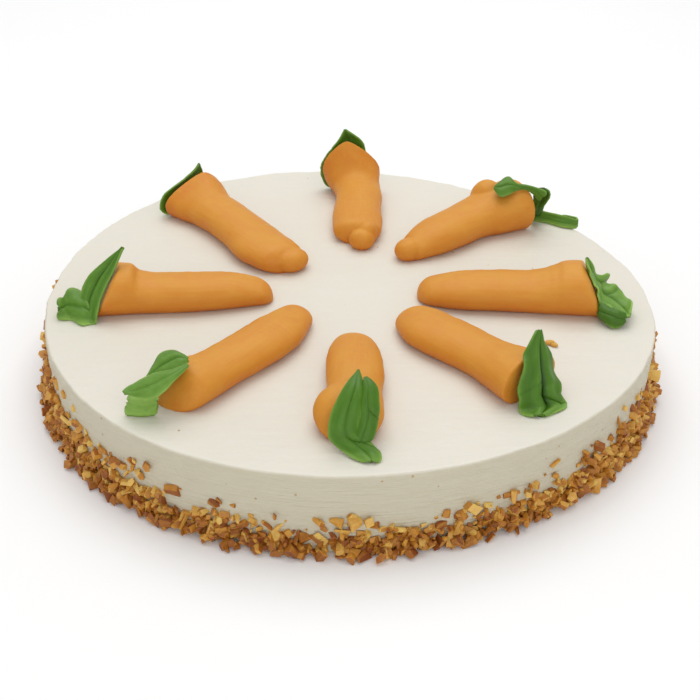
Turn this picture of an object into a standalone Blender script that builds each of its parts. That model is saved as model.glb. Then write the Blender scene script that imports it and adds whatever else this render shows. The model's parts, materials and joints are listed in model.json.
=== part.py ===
"""Round carrot cake: a cream-coated cake with chopped nuts round its foot, eight piped carrots and their piped leaves.

Metres, +Z up. The origin is the middle of the underside, and -Y faces whoever looks at the cake from the front.
"""

import math
import random

import bmesh
import bpy
from mathutils import Euler, Matrix, Vector
from mathutils.bvhtree import BVHTree

MM = 0.001

CAKE_RADIUS = 130 * MM
CAKE_HEIGHT = 34.5 * MM
CAKE_SIDES = 96
EDGE_ROUND = 1.6 * MM
OUT_OF_ROUND_2 = -0.0125
OUT_OF_ROUND_3 = (0.014, -0.0045)

NUT_COUNT = 215
NUT_SEED = 11
NUT_SIZE = (1.6 * MM, 2.9 * MM)
NUT_SIDES = (4, 5)
NUT_BAND_FRONT = 15 * MM
NUT_BAND_SIDES = 23 * MM
NUT_FOOT = 2.4 * MM
FLOOR_GAP = 0.15 * MM

REST_GAP = 0.3 * MM
ROPE_RINGS = 12
ROPE_SIDES = 14
ROPE_TIP_SHARE = 0.12
ROPE_HEAD_SHARE = 0.05
WIDEST_AT = 0.44
FLARE_LENGTH = 14 * MM

LEAF_THICKNESS = 1.3 * MM
LEAF_STEPS = 12
LEAF_STRIPS = 4
LEAF_CLEARANCE = 0.35 * MM
RAY_STEP = 0.02 * MM

# Every carrot is a piped rope that lies like a spoke. Tip and head are in mm from the cake's middle. Its own frame
# starts at the head: X outwards, Y to the left, Z up from the cream. Stations are (x, y, half-width, height) in mm
# from tip to head, lean is how far the head's end face slopes inwards for each mm of height, and lumps are piped
# dots and folds as ((x, y, z) of the middle, (half-length, half-width, half-height)) in mm.
CARROTS = {
    "north": dict(
        tip=(6, 41), head=(3, 104), lean=0.0,
        stations=[(-58, -0.5, 9.5, 9.5), (-52, 0, 11.3, 11), (-43, -0.5, 12, 11.5), (-31, -1, 11.5, 12.5),
                  (-19, -2.5, 11.3, 13.5), (-8, -1, 12.5, 17.5), (3, 1.3, 16, 30)],
        lumps=[((-60.5, -1.5, 4.3), (5.5, 6, 5)), ((-57, -4, 5.5), (5, 5, 6))],
    ),
    "north_east": dict(
        tip=(27, 29), head=(79, 67), lean=0.0,
        stations=[(-61, 2.5, 6.5, 7.5), (-54, 3.5, 9, 10.5), (-44, 4, 11.5, 13.5), (-31, 5, 12, 14.5),
                  (-19, 6.5, 12.5, 15.5), (-8, 5, 14, 18.5), (4, 2.5, 14.3, 20.5)],
        lumps=[((-60.5, 2.8, 4.3), (6.5, 6, 5.2)), ((-6, 14.5, 12), (7.5, 7, 9.5))],
    ),
    "east": dict(
        tip=(30, -1), head=(105, -7), lean=0.45,
        stations=[(-74, -1.5, 7, 7), (-66, -2.5, 10, 10), (-55, -3, 12, 12.5), (-39, -2.5, 12.5, 13.5),
                  (-23, -2.5, 12.8, 14.5), (-11, -2, 14.3, 18.5), (4.2, -1.5, 15, 19.5)],
        lumps=[],
    ),
    "south_east": dict(
        tip=(23, -17), head=(70, -74), lean=0.3,
        stations=[(-69, -1, 6.5, 6.5), (-60, -3, 10.5, 9.5), (-49, -4.5, 12.5, 11.5), (-34, -3.5, 12, 12.5),
                  (-20, -2.5, 11.3, 13), (-7, -2.5, 13, 15.5), (5, -2.5, 15, 18)],
        lumps=[],
    ),
    "south": dict(
        tip=(4, -38), head=(2, -104), lean=0.3,
        stations=[(-62, -0.5, 6, 6), (-55, 0, 8.5, 9.5), (-45, 0.3, 10.8, 11.5), (-31, 1, 11.2, 12.5),
                  (-18, 1, 10.6, 13.5), (-7, -0.5, 12.8, 15.5), (7, -0.5, 13.5, 16)],
        lumps=[],
    ),
    "south_west": dict(
        tip=(-18, -18), head=(-60, -83), lean=0.4,
        stations=[(-76, 1, 6, 6.5), (-66, 3, 8.8, 9), (-52, 4.5, 11.5, 11), (-36, 4, 11.5, 12),
                  (-19, 2, 11, 12.5), (-5, 0, 12.2, 14), (9, -2.5, 13.5, 16)],
        lumps=[],
    ),
    "west": dict(
        tip=(-30, -3), head=(-102, -10), lean=0.5,
        stations=[(-71, 2.5, 6.5, 6.5), (-62, 2, 9.2, 10), (-50, 2.8, 11, 12.5), (-34, 3.5, 11.6, 13.3),
                  (-18, 3, 12, 14), (-7, 2.5, 13.2, 17.5), (3, 2.5, 14.5, 19)],
        lumps=[],
    ),
    "north_west": dict(
        tip=(-30, 24), head=(-74, 77), lean=0.1,
        stations=[(-76, -1.5, 10, 10), (-67, 0, 12, 11.5), (-55, 0.3, 13.3, 12), (-38, -1.5, 12, 13.3),
                  (-21, -2.5, 12, 15), (-7, -1.5, 13.5, 18.5), (7, 0.5, 17, 24.5)],
        lumps=[((-75, -5.5, 4.2), (5, 6, 5))],
    ),
}

# Every leaf is a ruffled strip, piped from its foot on the cream up the head to its drawn-out tip. Its left edge,
# rib and right edge are (x, y, z) in mm in its carrot's frame, from foot to tip. Ruffle is the height in mm and the
# number of the waves in its edges.
LEAVES = {
    "north": dict(
        left=[(6, 17.5, 1), (5.5, 20, 6), (5.5, 20.3, 12), (5.5, 17.5, 19), (5.5, 12, 26), (5, 5.6, 33.5)],
        rib=[(8.5, 7, 1), (8, 8, 7), (7.5, 8, 14), (7, 7, 21), (6.5, 5.5, 28), (5, 4.5, 34)],
        right=[(8.5, -3, 1), (7.5, -5, 7), (7, -6, 14), (6.8, -6, 22), (6, -4, 30), (5, 3.4, 33.5)],
        ruffle=(0.3, 1.5),
    ),
    "north_east": dict(
        left=[(18, -8, 4.5), (23, -10, 5), (25, -8.5, 4.5), (19, -2.5, 4.5), (12, -3, 9), (9.5, -5, 18), (3, 0, 24.5),
              (-4, 8, 24), (-12, 4, 22.5)],
        rib=[(18, -10, 2.5), (24, -14, 2.8), (27, -10.5, 2.5), (20, -4.5, 2.5), (11.5, -6.5, 6), (9, -9.5, 16),
             (4, -5, 24.5), (-4, 2.5, 24.5), (-12.5, 3, 22.8)],
        right=[(17.5, -11, 0.8), (24, -15.5, 0.8), (27.5, -11.5, 0.8), (20, -6, 0.8), (12, -9.5, 3), (9, -13.5, 12),
               (4.5, -11, 21.5), (-2, -2.5, 23.5), (-12, 2, 22.5)],
        ruffle=(0.3, 3.5),
    ),
    "east": dict(
        left=[(14, -13, 1), (16.5, -5, 3.5), (16, 2, 7), (9.5, 6.5, 11.5), (3.5, 6, 15.5), (-4, 2.5, 21.5)],
        rib=[(9, -15.5, 1), (9, -9, 4), (7, -4, 7), (3.5, -1, 11), (-0.5, 1, 15), (-5, 2, 21.8)],
        right=[(4.5, -17.5, 1), (3, -14.5, 2.5), (1.5, -11, 5.5), (-0.5, -8, 10), (-3.5, -4.5, 15), (-6, 1, 21.5)],
        ruffle=(1.5, 3.0),
    ),
    "south_east": dict(
        left=[(17.5, 6, 1), (13.5, 8, 2.5), (10, 7, 6), (7.5, 5, 11), (5, 4.3, 16), (0, 4.3, 24.5)],
        rib=[(17.5, -5, 1), (13.5, -4.5, 2.5), (10, -3.5, 6), (7.5, -2, 11), (4.5, 0.5, 16.5), (0, 3.2, 25.5)],
        right=[(15.5, -14, 1), (12, -15, 4), (9.5, -13.5, 9), (6.5, -11, 15), (3.5, -5.5, 20), (0, 2.2, 25.3)],
        ruffle=(0.7, 2.5),
    ),
    "south": dict(
        left=[(15.5, 10, 1), (12.5, 9, 3.5), (9.5, 7.5, 8), (5.5, 10, 15.5), (-3.5, 9.5, 19.8), (-7, 4.5, 20.5)],
        rib=[(18, 4, 1), (12.5, 2, 4), (9.5, 1, 8.5), (5.5, 2.5, 15), (-2, 4.3, 18), (-9.5, 2, 20)],
        right=[(16, -2, 1), (12, -6, 3.5), (9.5, -7.5, 8.5), (5.5, -5.5, 15.8), (-3, -2, 19.8), (-11, 1.5, 20.3)],
        ruffle=(0.4, 2.0),
    ),
    "south_west": dict(
        left=[(14, -2, 1), (20, -3, 8.5), (17, 1.5, 11), (10.5, 3.8, 14.5), (4, 4.3, 17.8), (-3.5, 0, 18)],
        rib=[(18, -8, 1), (18, -8, 6), (12.5, -7, 10), (7, -5, 13.5), (1.5, -3, 17.3), (-4, -0.8, 17.8)],
        right=[(20, -14, 1), (21, -15, 7), (14, -14.5, 10.5), (8, -10.5, 15.5), (1, -9, 20), (-4, -1.5, 18.2)],
        ruffle=(0.5, 2.0),
    ),
    "west": dict(
        left=[(15, 14.5, 1), (9, 18, 1.2), (3, 18.5, 2.5), (0.5, 14, 7), (-3.8, 8, 15), (-8.8, 1.4, 26)],
        rib=[(18.5, 4, 1), (13.5, 3.5, 2), (8, 3, 4.5), (3, 2.5, 10), (-2.5, 2, 18), (-9, 0.6, 26.6)],
        right=[(21, -4, 1.5), (18, -7, 4), (13, -8.5, 4), (4.5, -8.5, 11), (-3, -4, 19.5), (-9, -0.2, 26)],
        ruffle=(0.9, 2.0),
    ),
    "north_west": dict(
        left=[(9, 17.5, 1), (9, 19.5, 5), (9, 18.5, 10), (9, 15, 15), (8.5, 8.5, 20), (6, -1.8, 26)],
        rib=[(11, 6, 1), (11, 7, 6), (10.5, 6, 12), (10, 3, 17.5), (9, 0, 22.5), (6, -3.2, 26.6)],
        right=[(10.5, -5, 1), (10.5, -7, 6), (10, -8, 12), (9.5, -8, 18), (8.5, -6.5, 23), (6, -4.6, 26)],
        ruffle=(0.3, 1.5),
    ),
}


def clear_scene():
    for obj in list(bpy.data.objects):
        bpy.data.objects.remove(obj, do_unlink=True)


def make_collection(name):
    collection = bpy.data.collections.new(name)
    bpy.context.scene.collection.children.link(collection)
    return collection


def make_material(name, colour, roughness):
    material = bpy.data.materials.new(name)
    material.use_nodes = True
    shader = material.node_tree.nodes["Principled BSDF"]
    shader.inputs["Base Color"].default_value = (*colour, 1)
    shader.inputs["Roughness"].default_value = roughness
    shader.inputs["Metallic"].default_value = 0
    return material


def add_object(name, bm, collection, material=None):
    mesh = bpy.data.meshes.new(name)
    bm.to_mesh(mesh)
    bm.free()
    if material:
        mesh.materials.append(material)
    mesh.shade_smooth()
    obj = bpy.data.objects.new(name, mesh)
    collection.objects.link(obj)
    return obj


def keep_outer_shell(mesh):
    """Drops loose scraps and fills sealed hollows: only the largest connected surface stays."""
    bm = bmesh.new()
    bm.from_mesh(mesh)
    bmesh.ops.split_edges(bm, edges=[edge for edge in bm.edges if len(edge.link_faces) != 2])
    unseen = set(bm.faces)
    shells = []
    while unseen:
        seed = unseen.pop()
        shell, border = [seed], [seed]
        while border:
            for edge in border.pop().edges:
                for face in edge.link_faces:
                    if face in unseen:
                        unseen.discard(face)
                        shell.append(face)
                        border.append(face)
        shells.append(shell)
    shells.sort(key=len)
    scraps = [face for shell in shells[:-1] for face in shell]
    bmesh.ops.delete(bm, geom=scraps, context="FACES")
    bmesh.ops.triangulate(bm, faces=bm.faces)
    bm.to_mesh(mesh)
    bm.free()


def unite(obj, helpers):
    """Joins the helpers' objects onto obj as one solid, and removes them."""
    union = obj.modifiers.new("helpers", "BOOLEAN")
    union.operation = "UNION"
    union.operand_type = "COLLECTION"
    union.collection = helpers
    graph = bpy.context.evaluated_depsgraph_get()
    joined = bpy.data.meshes.new_from_object(obj.evaluated_get(graph))
    obj.modifiers.clear()
    obj.data = joined
    for helper in list(helpers.objects):
        bpy.data.objects.remove(helper, do_unlink=True)
    bpy.data.collections.remove(helpers)
    keep_outer_shell(obj.data)
    obj.data.set_sharp_from_angle(angle=math.radians(30))


def cake_radius(angle):
    """The cream's outer radius: a hand-spread cake is a little out of round."""
    second = OUT_OF_ROUND_2 * math.sin(2 * angle)
    third = OUT_OF_ROUND_3[0] * math.cos(3 * angle) + OUT_OF_ROUND_3[1] * math.sin(3 * angle)
    return CAKE_RADIUS * (1 + second + third)


def smooth_path(stations, amount):
    """A Catmull-Rom spline through the stations, at amount from 0 to 1."""
    place = amount * (len(stations) - 1)
    first = min(int(place), len(stations) - 2)
    t = place - first
    before, a, b, after = (stations[min(max(first + k, 0), len(stations) - 1)] for k in (-1, 0, 1, 2))
    return Vector(
        0.5 * (2 * q + (r - p) * t + (2 * p - 5 * q + 4 * r - s) * t**2 + (3 * q - p - 3 * r + s) * t**3)
        for p, q, r, s in zip(before, a, b, after)
    )


def carrot_frame(carrot):
    """The carrot's own frame: its origin under the head on the cream, X outwards, Y to the left, Z up."""
    tip = Vector((*carrot["tip"], 0)) * MM
    head = Vector((*carrot["head"], 0)) * MM
    along = (head - tip).normalized()
    turn = Matrix((along, Vector((-along.y, along.x, 0)), Vector((0, 0, 1)))).transposed().to_4x4()
    return Matrix.Translation((head.x, head.y, CAKE_HEIGHT + REST_GAP)) @ turn


def end_swell(amount):
    """How far the rope has swelled to full size, from 0 at its very ends to 1."""
    share = min(amount / ROPE_TIP_SHARE, (1 - amount) / ROPE_HEAD_SHARE, 1)
    return math.sqrt(max(0, 1 - (1 - share) ** 2))


def rope_ring(carrot, amount, sides):
    """One ring of the rope: an oval that lies flat on the cream and leans with the flare of the head."""
    x, y, half_width, height = smooth_path(carrot["stations"], amount) * MM
    swell = end_swell(amount)
    lean = carrot["lean"] * min(max(1 + x / FLARE_LENGTH, 0), 1)
    ring = []
    for k in range(sides):
        angle = 2 * math.pi * k / sides
        up = height * (0.25 + 0.75 * swell) * max(WIDEST_AT + (1 - WIDEST_AT) * math.sin(angle), 0)
        ring.append(Vector((x - lean * up, y + half_width * swell * math.cos(angle), up)))
    return ring


def add_rope(name, carrot, collection, material):
    bm = bmesh.new()
    rows = []
    for k in range(ROPE_RINGS):
        amount = 0.5 - 0.5 * math.cos(math.pi * (k + 0.35) / (ROPE_RINGS - 0.3))
        rows.append([bm.verts.new(point) for point in rope_ring(carrot, amount, ROPE_SIDES)])
    for row, following in zip(rows, rows[1:]):
        for k in range(ROPE_SIDES):
            bm.faces.new((row[k], row[(k + 1) % ROPE_SIDES], following[(k + 1) % ROPE_SIDES], following[k]))
    for row in (rows[0], rows[-1]):
        middle = bm.verts.new(sum((v.co for v in row), Vector()) / ROPE_SIDES)
        for k in range(ROPE_SIDES):
            bm.faces.new((row[k], row[(k + 1) % ROPE_SIDES], middle))
    bmesh.ops.transform(bm, matrix=carrot_frame(carrot), verts=bm.verts)
    bmesh.ops.recalc_face_normals(bm, faces=bm.faces)
    return add_object(name, bm, collection, material)


def add_lump(carrot, middle, halves, collection):
    """A piped dot or fold: an egg shape with its underside flattened a little above the cream."""
    bm = bmesh.new()
    bmesh.ops.create_uvsphere(bm, u_segments=10, v_segments=7, radius=1)
    for vert in bm.verts:
        vert.co = Vector((m + h * c) * MM for m, h, c in zip(middle, halves, vert.co))
        vert.co.z = max(vert.co.z, FLOOR_GAP)
    bmesh.ops.transform(bm, matrix=carrot_frame(carrot), verts=bm.verts)
    return add_object("lump", bm, collection)


def add_carrot(name, carrot, collection, material):
    rope = add_rope(f"carrot_{name}", carrot, collection, material)
    if carrot["lumps"]:
        lumps = make_collection("lumps")
        for middle, halves in carrot["lumps"]:
            add_lump(carrot, middle, halves, lumps)
        unite(rope, lumps)
    return rope


def leaf_point(leaf, along, across):
    """A point on the leaf in its carrot's frame: along from foot to tip, across from -1 at the left edge to 1."""
    left, rib, right = (smooth_path(leaf[rail], along) for rail in ("left", "rib", "right"))
    return rib + (right - left) / 2 * across + ((left + right) / 2 - rib) * across**2


def leaf_normal(leaf, along, across):
    step = 0.02
    forward = leaf_point(leaf, min(along + step, 1), across) - leaf_point(leaf, max(along - step, 0), across)
    sideways = leaf_point(leaf, along, across + step) - leaf_point(leaf, along, across - step)
    return forward.cross(sideways).normalized()


def leaf_surface(leaf, carrot, steps, strips):
    """Rows of points on the leaf's middle surface, from foot to tip."""
    frame = carrot_frame(carrot)
    height, waves = leaf["ruffle"]
    rows = []
    for i in range(steps + 1):
        along = i / steps
        row = []
        for j in range(strips + 1):
            across = 2 * j / strips - 1
            shift = 1.9 if across < 0 else 0
            wave = height * math.sin(2 * math.pi * waves * along + shift) * across**2 * min(1, 4 * (1 - along))
            point = leaf_point(leaf, along, across) + leaf_normal(leaf, along, across) * wave
            row.append(frame @ (point * MM))
        rows.append(row)
    return rows


def lies_inside(point, solid):
    """Whether a ray straight up from the point leaves the solid more often than it enters it."""
    up = Vector((0, 0, 1))
    crossings = 0
    hit = solid.ray_cast(point, up)[0]
    while hit:
        crossings += 1
        hit = solid.ray_cast(hit + up * RAY_STEP, up)[0]
    return crossings % 2 == 1


def push_clear(point, solid, margin):
    """The point, moved out of the carrot and up off the cream where it is nearer than the margin."""
    lowest = CAKE_HEIGHT + REST_GAP + LEAF_THICKNESS / 2
    for _ in range(3):
        near, _, _, distance = solid.find_nearest(point)
        if lies_inside(point, solid):
            point = near + (near - point).normalized() * margin
        elif distance < margin:
            point = near + (point - near).normalized() * margin
        point = Vector((point.x, point.y, max(point.z, lowest)))
    return point


def add_leaf(name, leaf, carrot, carrot_object, collection, material):
    bm_carrot = bmesh.new()
    bm_carrot.from_mesh(carrot_object.data)
    solid = BVHTree.FromBMesh(bm_carrot)
    bm_carrot.free()
    margin = LEAF_CLEARANCE + 0.8 * LEAF_THICKNESS
    steps = LEAF_STEPS + 2 * max(0, len(leaf["rib"]) - 6)
    bm = bmesh.new()
    grid = []
    for row in leaf_surface(leaf, carrot, steps, LEAF_STRIPS):
        grid.append([bm.verts.new(push_clear(point, solid, margin)) for point in row])
    for row, following in zip(grid, grid[1:]):
        for k in range(LEAF_STRIPS):
            bm.faces.new((row[k], row[k + 1], following[k + 1], following[k]))
    bmesh.ops.triangulate(bm, faces=bm.faces)
    obj = add_object(f"leaf_{name}", bm, collection, material)
    solidify = obj.modifiers.new("thickness", "SOLIDIFY")
    solidify.thickness = LEAF_THICKNESS
    solidify.offset = 0
    return obj


def nut_band(angle):
    """How high the nuts reach: higher at the left and right than in front and behind."""
    share = abs(math.cos(angle)) ** 3
    return NUT_BAND_FRONT + (NUT_BAND_SIDES - NUT_BAND_FRONT) * share


def nut_places():
    """Where each chopped nut sits, and how it is turned, sized and cut: even round the cake, denser at the foot."""
    draw = random.Random(NUT_SEED)
    golden = (math.sqrt(5) - 1) / 2
    for k in range(NUT_COUNT):
        angle = 2 * math.pi * ((k * golden) % 1) + draw.uniform(-0.01, 0.01)
        climb = draw.random() ** 1.5
        size = draw.uniform(*NUT_SIZE)
        turn = Euler([draw.uniform(0, 2 * math.pi) for _ in range(3)])
        stretch = Vector((1, draw.uniform(0.6, 0.95), draw.uniform(0.9, 1.7)))
        height = max(NUT_FOOT, size * 1.25) + climb * (nut_band(angle) - NUT_FOOT)
        radius = cake_radius(angle) + size * draw.uniform(0.0, 0.35)
        yield Vector((radius * math.cos(angle), radius * math.sin(angle), height)), turn, stretch * size, draw


def add_nut(place, turn, stretch, draw, collection):
    """One chip: a tapered prism with cut, uneven corners, lifted clear of the floor."""
    bm = bmesh.new()
    sides = draw.choice(NUT_SIDES)
    bmesh.ops.create_cone(bm, cap_ends=True, segments=sides, radius1=1, radius2=draw.uniform(0.55, 0.9), depth=1.5)
    for vert in bm.verts:
        vert.co *= draw.uniform(0.82, 1.15)
        vert.co = Vector(c * s for c, s in zip(vert.co, stretch))
        vert.co.rotate(turn)
    lowest = min(vert.co.z for vert in bm.verts)
    place = Vector((place.x, place.y, max(place.z, FLOOR_GAP - lowest)))
    points = [vert.co + place for vert in bm.verts]
    bm.clear()
    bmesh.ops.convex_hull(bm, input=[bm.verts.new(point) for point in points])
    bmesh.ops.recalc_face_normals(bm, faces=bm.faces)
    add_object("nut", bm, collection)


def add_cake(collection, material):
    """The coated cake with the largest of its nuts joined on."""
    bm = bmesh.new()
    bmesh.ops.create_cone(
        bm, cap_ends=True, segments=CAKE_SIDES, radius1=CAKE_RADIUS, radius2=CAKE_RADIUS, depth=CAKE_HEIGHT
    )
    top_edges = [e for e in bm.edges if min(v.co.z for v in e.verts) > 0]
    bmesh.ops.bevel(bm, geom=top_edges, offset=EDGE_ROUND, segments=2, profile=0.5, affect="EDGES")
    for vert in bm.verts:
        angle = math.atan2(vert.co.y, vert.co.x)
        vert.co.xy *= cake_radius(angle) / CAKE_RADIUS
        vert.co.z += CAKE_HEIGHT / 2
    cake = add_object("cake", bm, collection, material)
    nuts = make_collection("nuts")
    for place, turn, stretch, draw in nut_places():
        add_nut(place, turn, stretch, draw, nuts)
    unite(cake, nuts)
    return cake


def main():
    clear_scene()
    collection = make_collection("carrot_cake")
    cream = make_material("cream", (0.80, 0.76, 0.66), 0.55)
    orange = make_material("carrot_icing", (0.76, 0.33, 0.06), 0.45)
    green = make_material("leaf_icing", (0.11, 0.24, 0.04), 0.45)
    add_cake(collection, cream)
    for name, carrot in CARROTS.items():
        carrot_object = add_carrot(name, carrot, collection, orange)
        add_leaf(name, LEAVES[name], carrot, carrot_object, collection, green)


main()
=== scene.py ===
"""Looks of the round carrot cake: spread cream, piped icing carrots and leaves, and chopped toasted nuts.

Metres, +Z up. The origin is the middle of the underside, and -Y faces whoever looks from the front.
"""

import json
import math
import random

import bmesh
import bpy
from mathutils import Euler, Matrix, Vector, noise
from mathutils.bvhtree import BVHTree

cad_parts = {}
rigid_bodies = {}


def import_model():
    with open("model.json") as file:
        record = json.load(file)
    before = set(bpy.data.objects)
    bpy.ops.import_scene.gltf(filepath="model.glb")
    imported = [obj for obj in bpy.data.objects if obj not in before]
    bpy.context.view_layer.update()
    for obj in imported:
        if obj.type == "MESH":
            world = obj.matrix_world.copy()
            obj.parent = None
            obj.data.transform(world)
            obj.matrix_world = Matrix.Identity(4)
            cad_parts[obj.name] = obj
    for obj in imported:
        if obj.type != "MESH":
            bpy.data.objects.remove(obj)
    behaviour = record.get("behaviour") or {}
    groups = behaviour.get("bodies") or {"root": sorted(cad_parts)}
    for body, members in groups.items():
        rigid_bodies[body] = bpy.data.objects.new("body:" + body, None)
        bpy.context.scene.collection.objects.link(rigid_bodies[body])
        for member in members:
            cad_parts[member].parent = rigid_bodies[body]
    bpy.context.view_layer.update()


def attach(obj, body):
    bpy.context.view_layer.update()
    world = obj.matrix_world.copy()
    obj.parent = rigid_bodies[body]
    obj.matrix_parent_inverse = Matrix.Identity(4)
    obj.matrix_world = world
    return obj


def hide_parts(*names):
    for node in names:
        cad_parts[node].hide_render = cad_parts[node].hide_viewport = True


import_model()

MM = 0.001

# The cake, as its solid has it
CAKE_RADIUS = 130 * MM
CAKE_HEIGHT = 34.5 * MM
OUT_OF_ROUND_2 = -0.0125
OUT_OF_ROUND_3 = (0.014, -0.0045)

# Cream coat: spokes round it, rows and rings of its mesh, and how strong the marks of the spatula are
CREAM_SPOKES = 420
SIDE_ROWS = 46
EDGE_ROWS = 8
TOP_RINGS = 92
EDGE_ROUND = 1.0 * MM
EDGE_WANDER = 0.5 * MM
EDGE_REACH = 6 * MM
SIDE_FOOT = 0.4 * MM
SIDE_LINES = 0.16 * MM
SIDE_BELLY = 0.35 * MM
TOP_SWEEPS = 0.16 * MM

# Sponge base, inside the cream's foot
BASE_RECESS = 0.6 * MM
BASE_SHARE = 0.972
BASE_SPOKES = 180
BASE_RINGS = 42
BASE_CRUMB = 0.3 * MM
BASE_LOWEST = 0.1 * MM
BASE_FLAT = 0.08 * MM

# Piped carrots
ROPE_RINGS = 96
ROPE_SIDES = 60
ROPE_SINK = 0.35 * MM
ROPE_TIP_SHARE = 0.12
WIDEST_AT = 0.44
HEAD_PAINTED_SHADE = 0.6
FLARE_LENGTH = 14 * MM
ROPE_VOXEL = 0.55 * MM
ROPE_SMOOTHING = 5
LUMP_SPOKES = 48
LUMP_RINGS = 32
PULSE_HEIGHT = 0.16 * MM

# Piped leaves
LEAF_END_SHARE = 0.1
RUFFLE_SHIFT = 1.9
LEAF_STEPS = 96
LEAF_STRIPS = 40
LEAF_THICKNESS = 1.5 * MM
LEAF_EDGE_SHARE = 0.45
LEAF_CLEARANCE = 0.15 * MM
LEAF_GRAIN = (60 * MM, 20 * MM)
RAY_STEP = 0.02 * MM

# Chopped nuts
BIG_CHIPS = 215
BIG_CHIP_SEED = 11
BIG_CHIP_SIZE = (1.6 * MM, 2.9 * MM)
CHIP_SIDES = (4, 5)
NUT_BAND_FRONT = 15 * MM
NUT_BAND_SIDES = 23 * MM
NUT_FOOT = 2.4 * MM
FLOOR_GAP = 0.15 * MM
# Crumbs on the top: the middle of each, and its half-sizes, in mm.
CRUMBS = [((83.4, -41.2, 35.4), (2.0, 1.3, 1.0)), ((85.2, -42.6, 35.2), (1.4, 1.3, 0.9))]
CHIP_KINDS = 14
CHIP_BAND_FRONT = 15 * MM
CHIP_BAND_SIDES = 29 * MM
CHIP_SEED = 5
TOAST_SEED = 7
FULL_TURN = 6.283
SKIN_TURN = 0.45
CRUMB_TONE = 0.6
CHIP_WEAR = 0.05 * MM
BIG_CHIP_WEAR = 0.12 * MM
LOWEST_POINT = 0.05 * MM
# Bands of small chips: where each begins, its share of the band's height, how far its foot is heaped
# outwards, its density to a square metre, its smallest and largest chips in mm, and its seed.
CHIP_LAYERS = {
    "nut_chips_foot": (1.2 * MM, 0.6, 5.0 * MM, 560000.0, 1.1, 2.5, 3),
    "nut_chips_upper": (2.0 * MM, 1.08, 2.6 * MM, 150000.0, 0.5, 2.2, 9),
}
LAYER_SPOKES = 720
LAYER_ROWS = 24

# Colours, from dark to light where there are several
CREAM_TONES = ((0.735, 0.70, 0.605), (0.765, 0.73, 0.64))
CREAM_STREAK = (0.66, 0.61, 0.49)
CREAM_PAINTED_SHADE = (0.60, 0.55, 0.40)
CREAM_SPECK = (0.48, 0.35, 0.19)
# The carrot icing runs from its painted shade to its painted light
CARROT_TONES = ((0.60, 0.15, 0.010), (0.655, 0.245, 0.022), (0.69, 0.325, 0.043))
# The leaf icing runs from dark to pale, through painted shade in its grooves and each blade's own tone
LEAF_TONES = ((0.008, 0.04, 0.002), (0.075, 0.195, 0.011), (0.27, 0.47, 0.09))
NUT_CUT_TONES = ((0.38, 0.13, 0.010), (0.62, 0.29, 0.032), (0.80, 0.52, 0.13))
NUT_SKIN_TONES = ((0.24, 0.06, 0.005), (0.42, 0.145, 0.014), (0.54, 0.24, 0.03))
SPONGE_HOLE_SHADE = (0.09, 0.035, 0.01)
SPONGE_TONES = ((0.13, 0.055, 0.015), (0.27, 0.13, 0.045), (0.38, 0.21, 0.08))
FLOOR_TONES = ((0.93, 0.93, 0.93), (0.95, 0.95, 0.95))

# How far the side takes its painted shade, and how many cells to a metre the specks and the sponge's holes
# have
SIDE_PAINTED_SHADE_MIX = 0.3
SPECK_CELLS = 200
SPONGE_CELLS = 320

# Studio: where each softbox hangs, its size and its power, and the strength of the light all round
SOFTBOXES = {"softbox_top": ((0.0, 0.5, 1.3), 1.3, 10.8), "softbox_front": ((0.1, -1.1, 0.55), 1.0, 3.0)}
ROOM_LIGHT = 0.6
FLOOR_HALF = 3.0

# Camera: where the eye is, which way it looks, and its focal length in a 700 pixel wide frame
EYE = (0.0, -0.45869407, 0.29304083)
EYE_RIGHT = (0.999954844, 0.000981097, 0.00945240786)
EYE_UP = (-0.00852704, 0.53172847, 0.84687196)
EYE_FORWARD = (0.00419525, 0.84691432, -0.53171283)
FOCAL_PIXELS = 1205
FRAME_PIXELS = 700
SENSOR = 36
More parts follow.
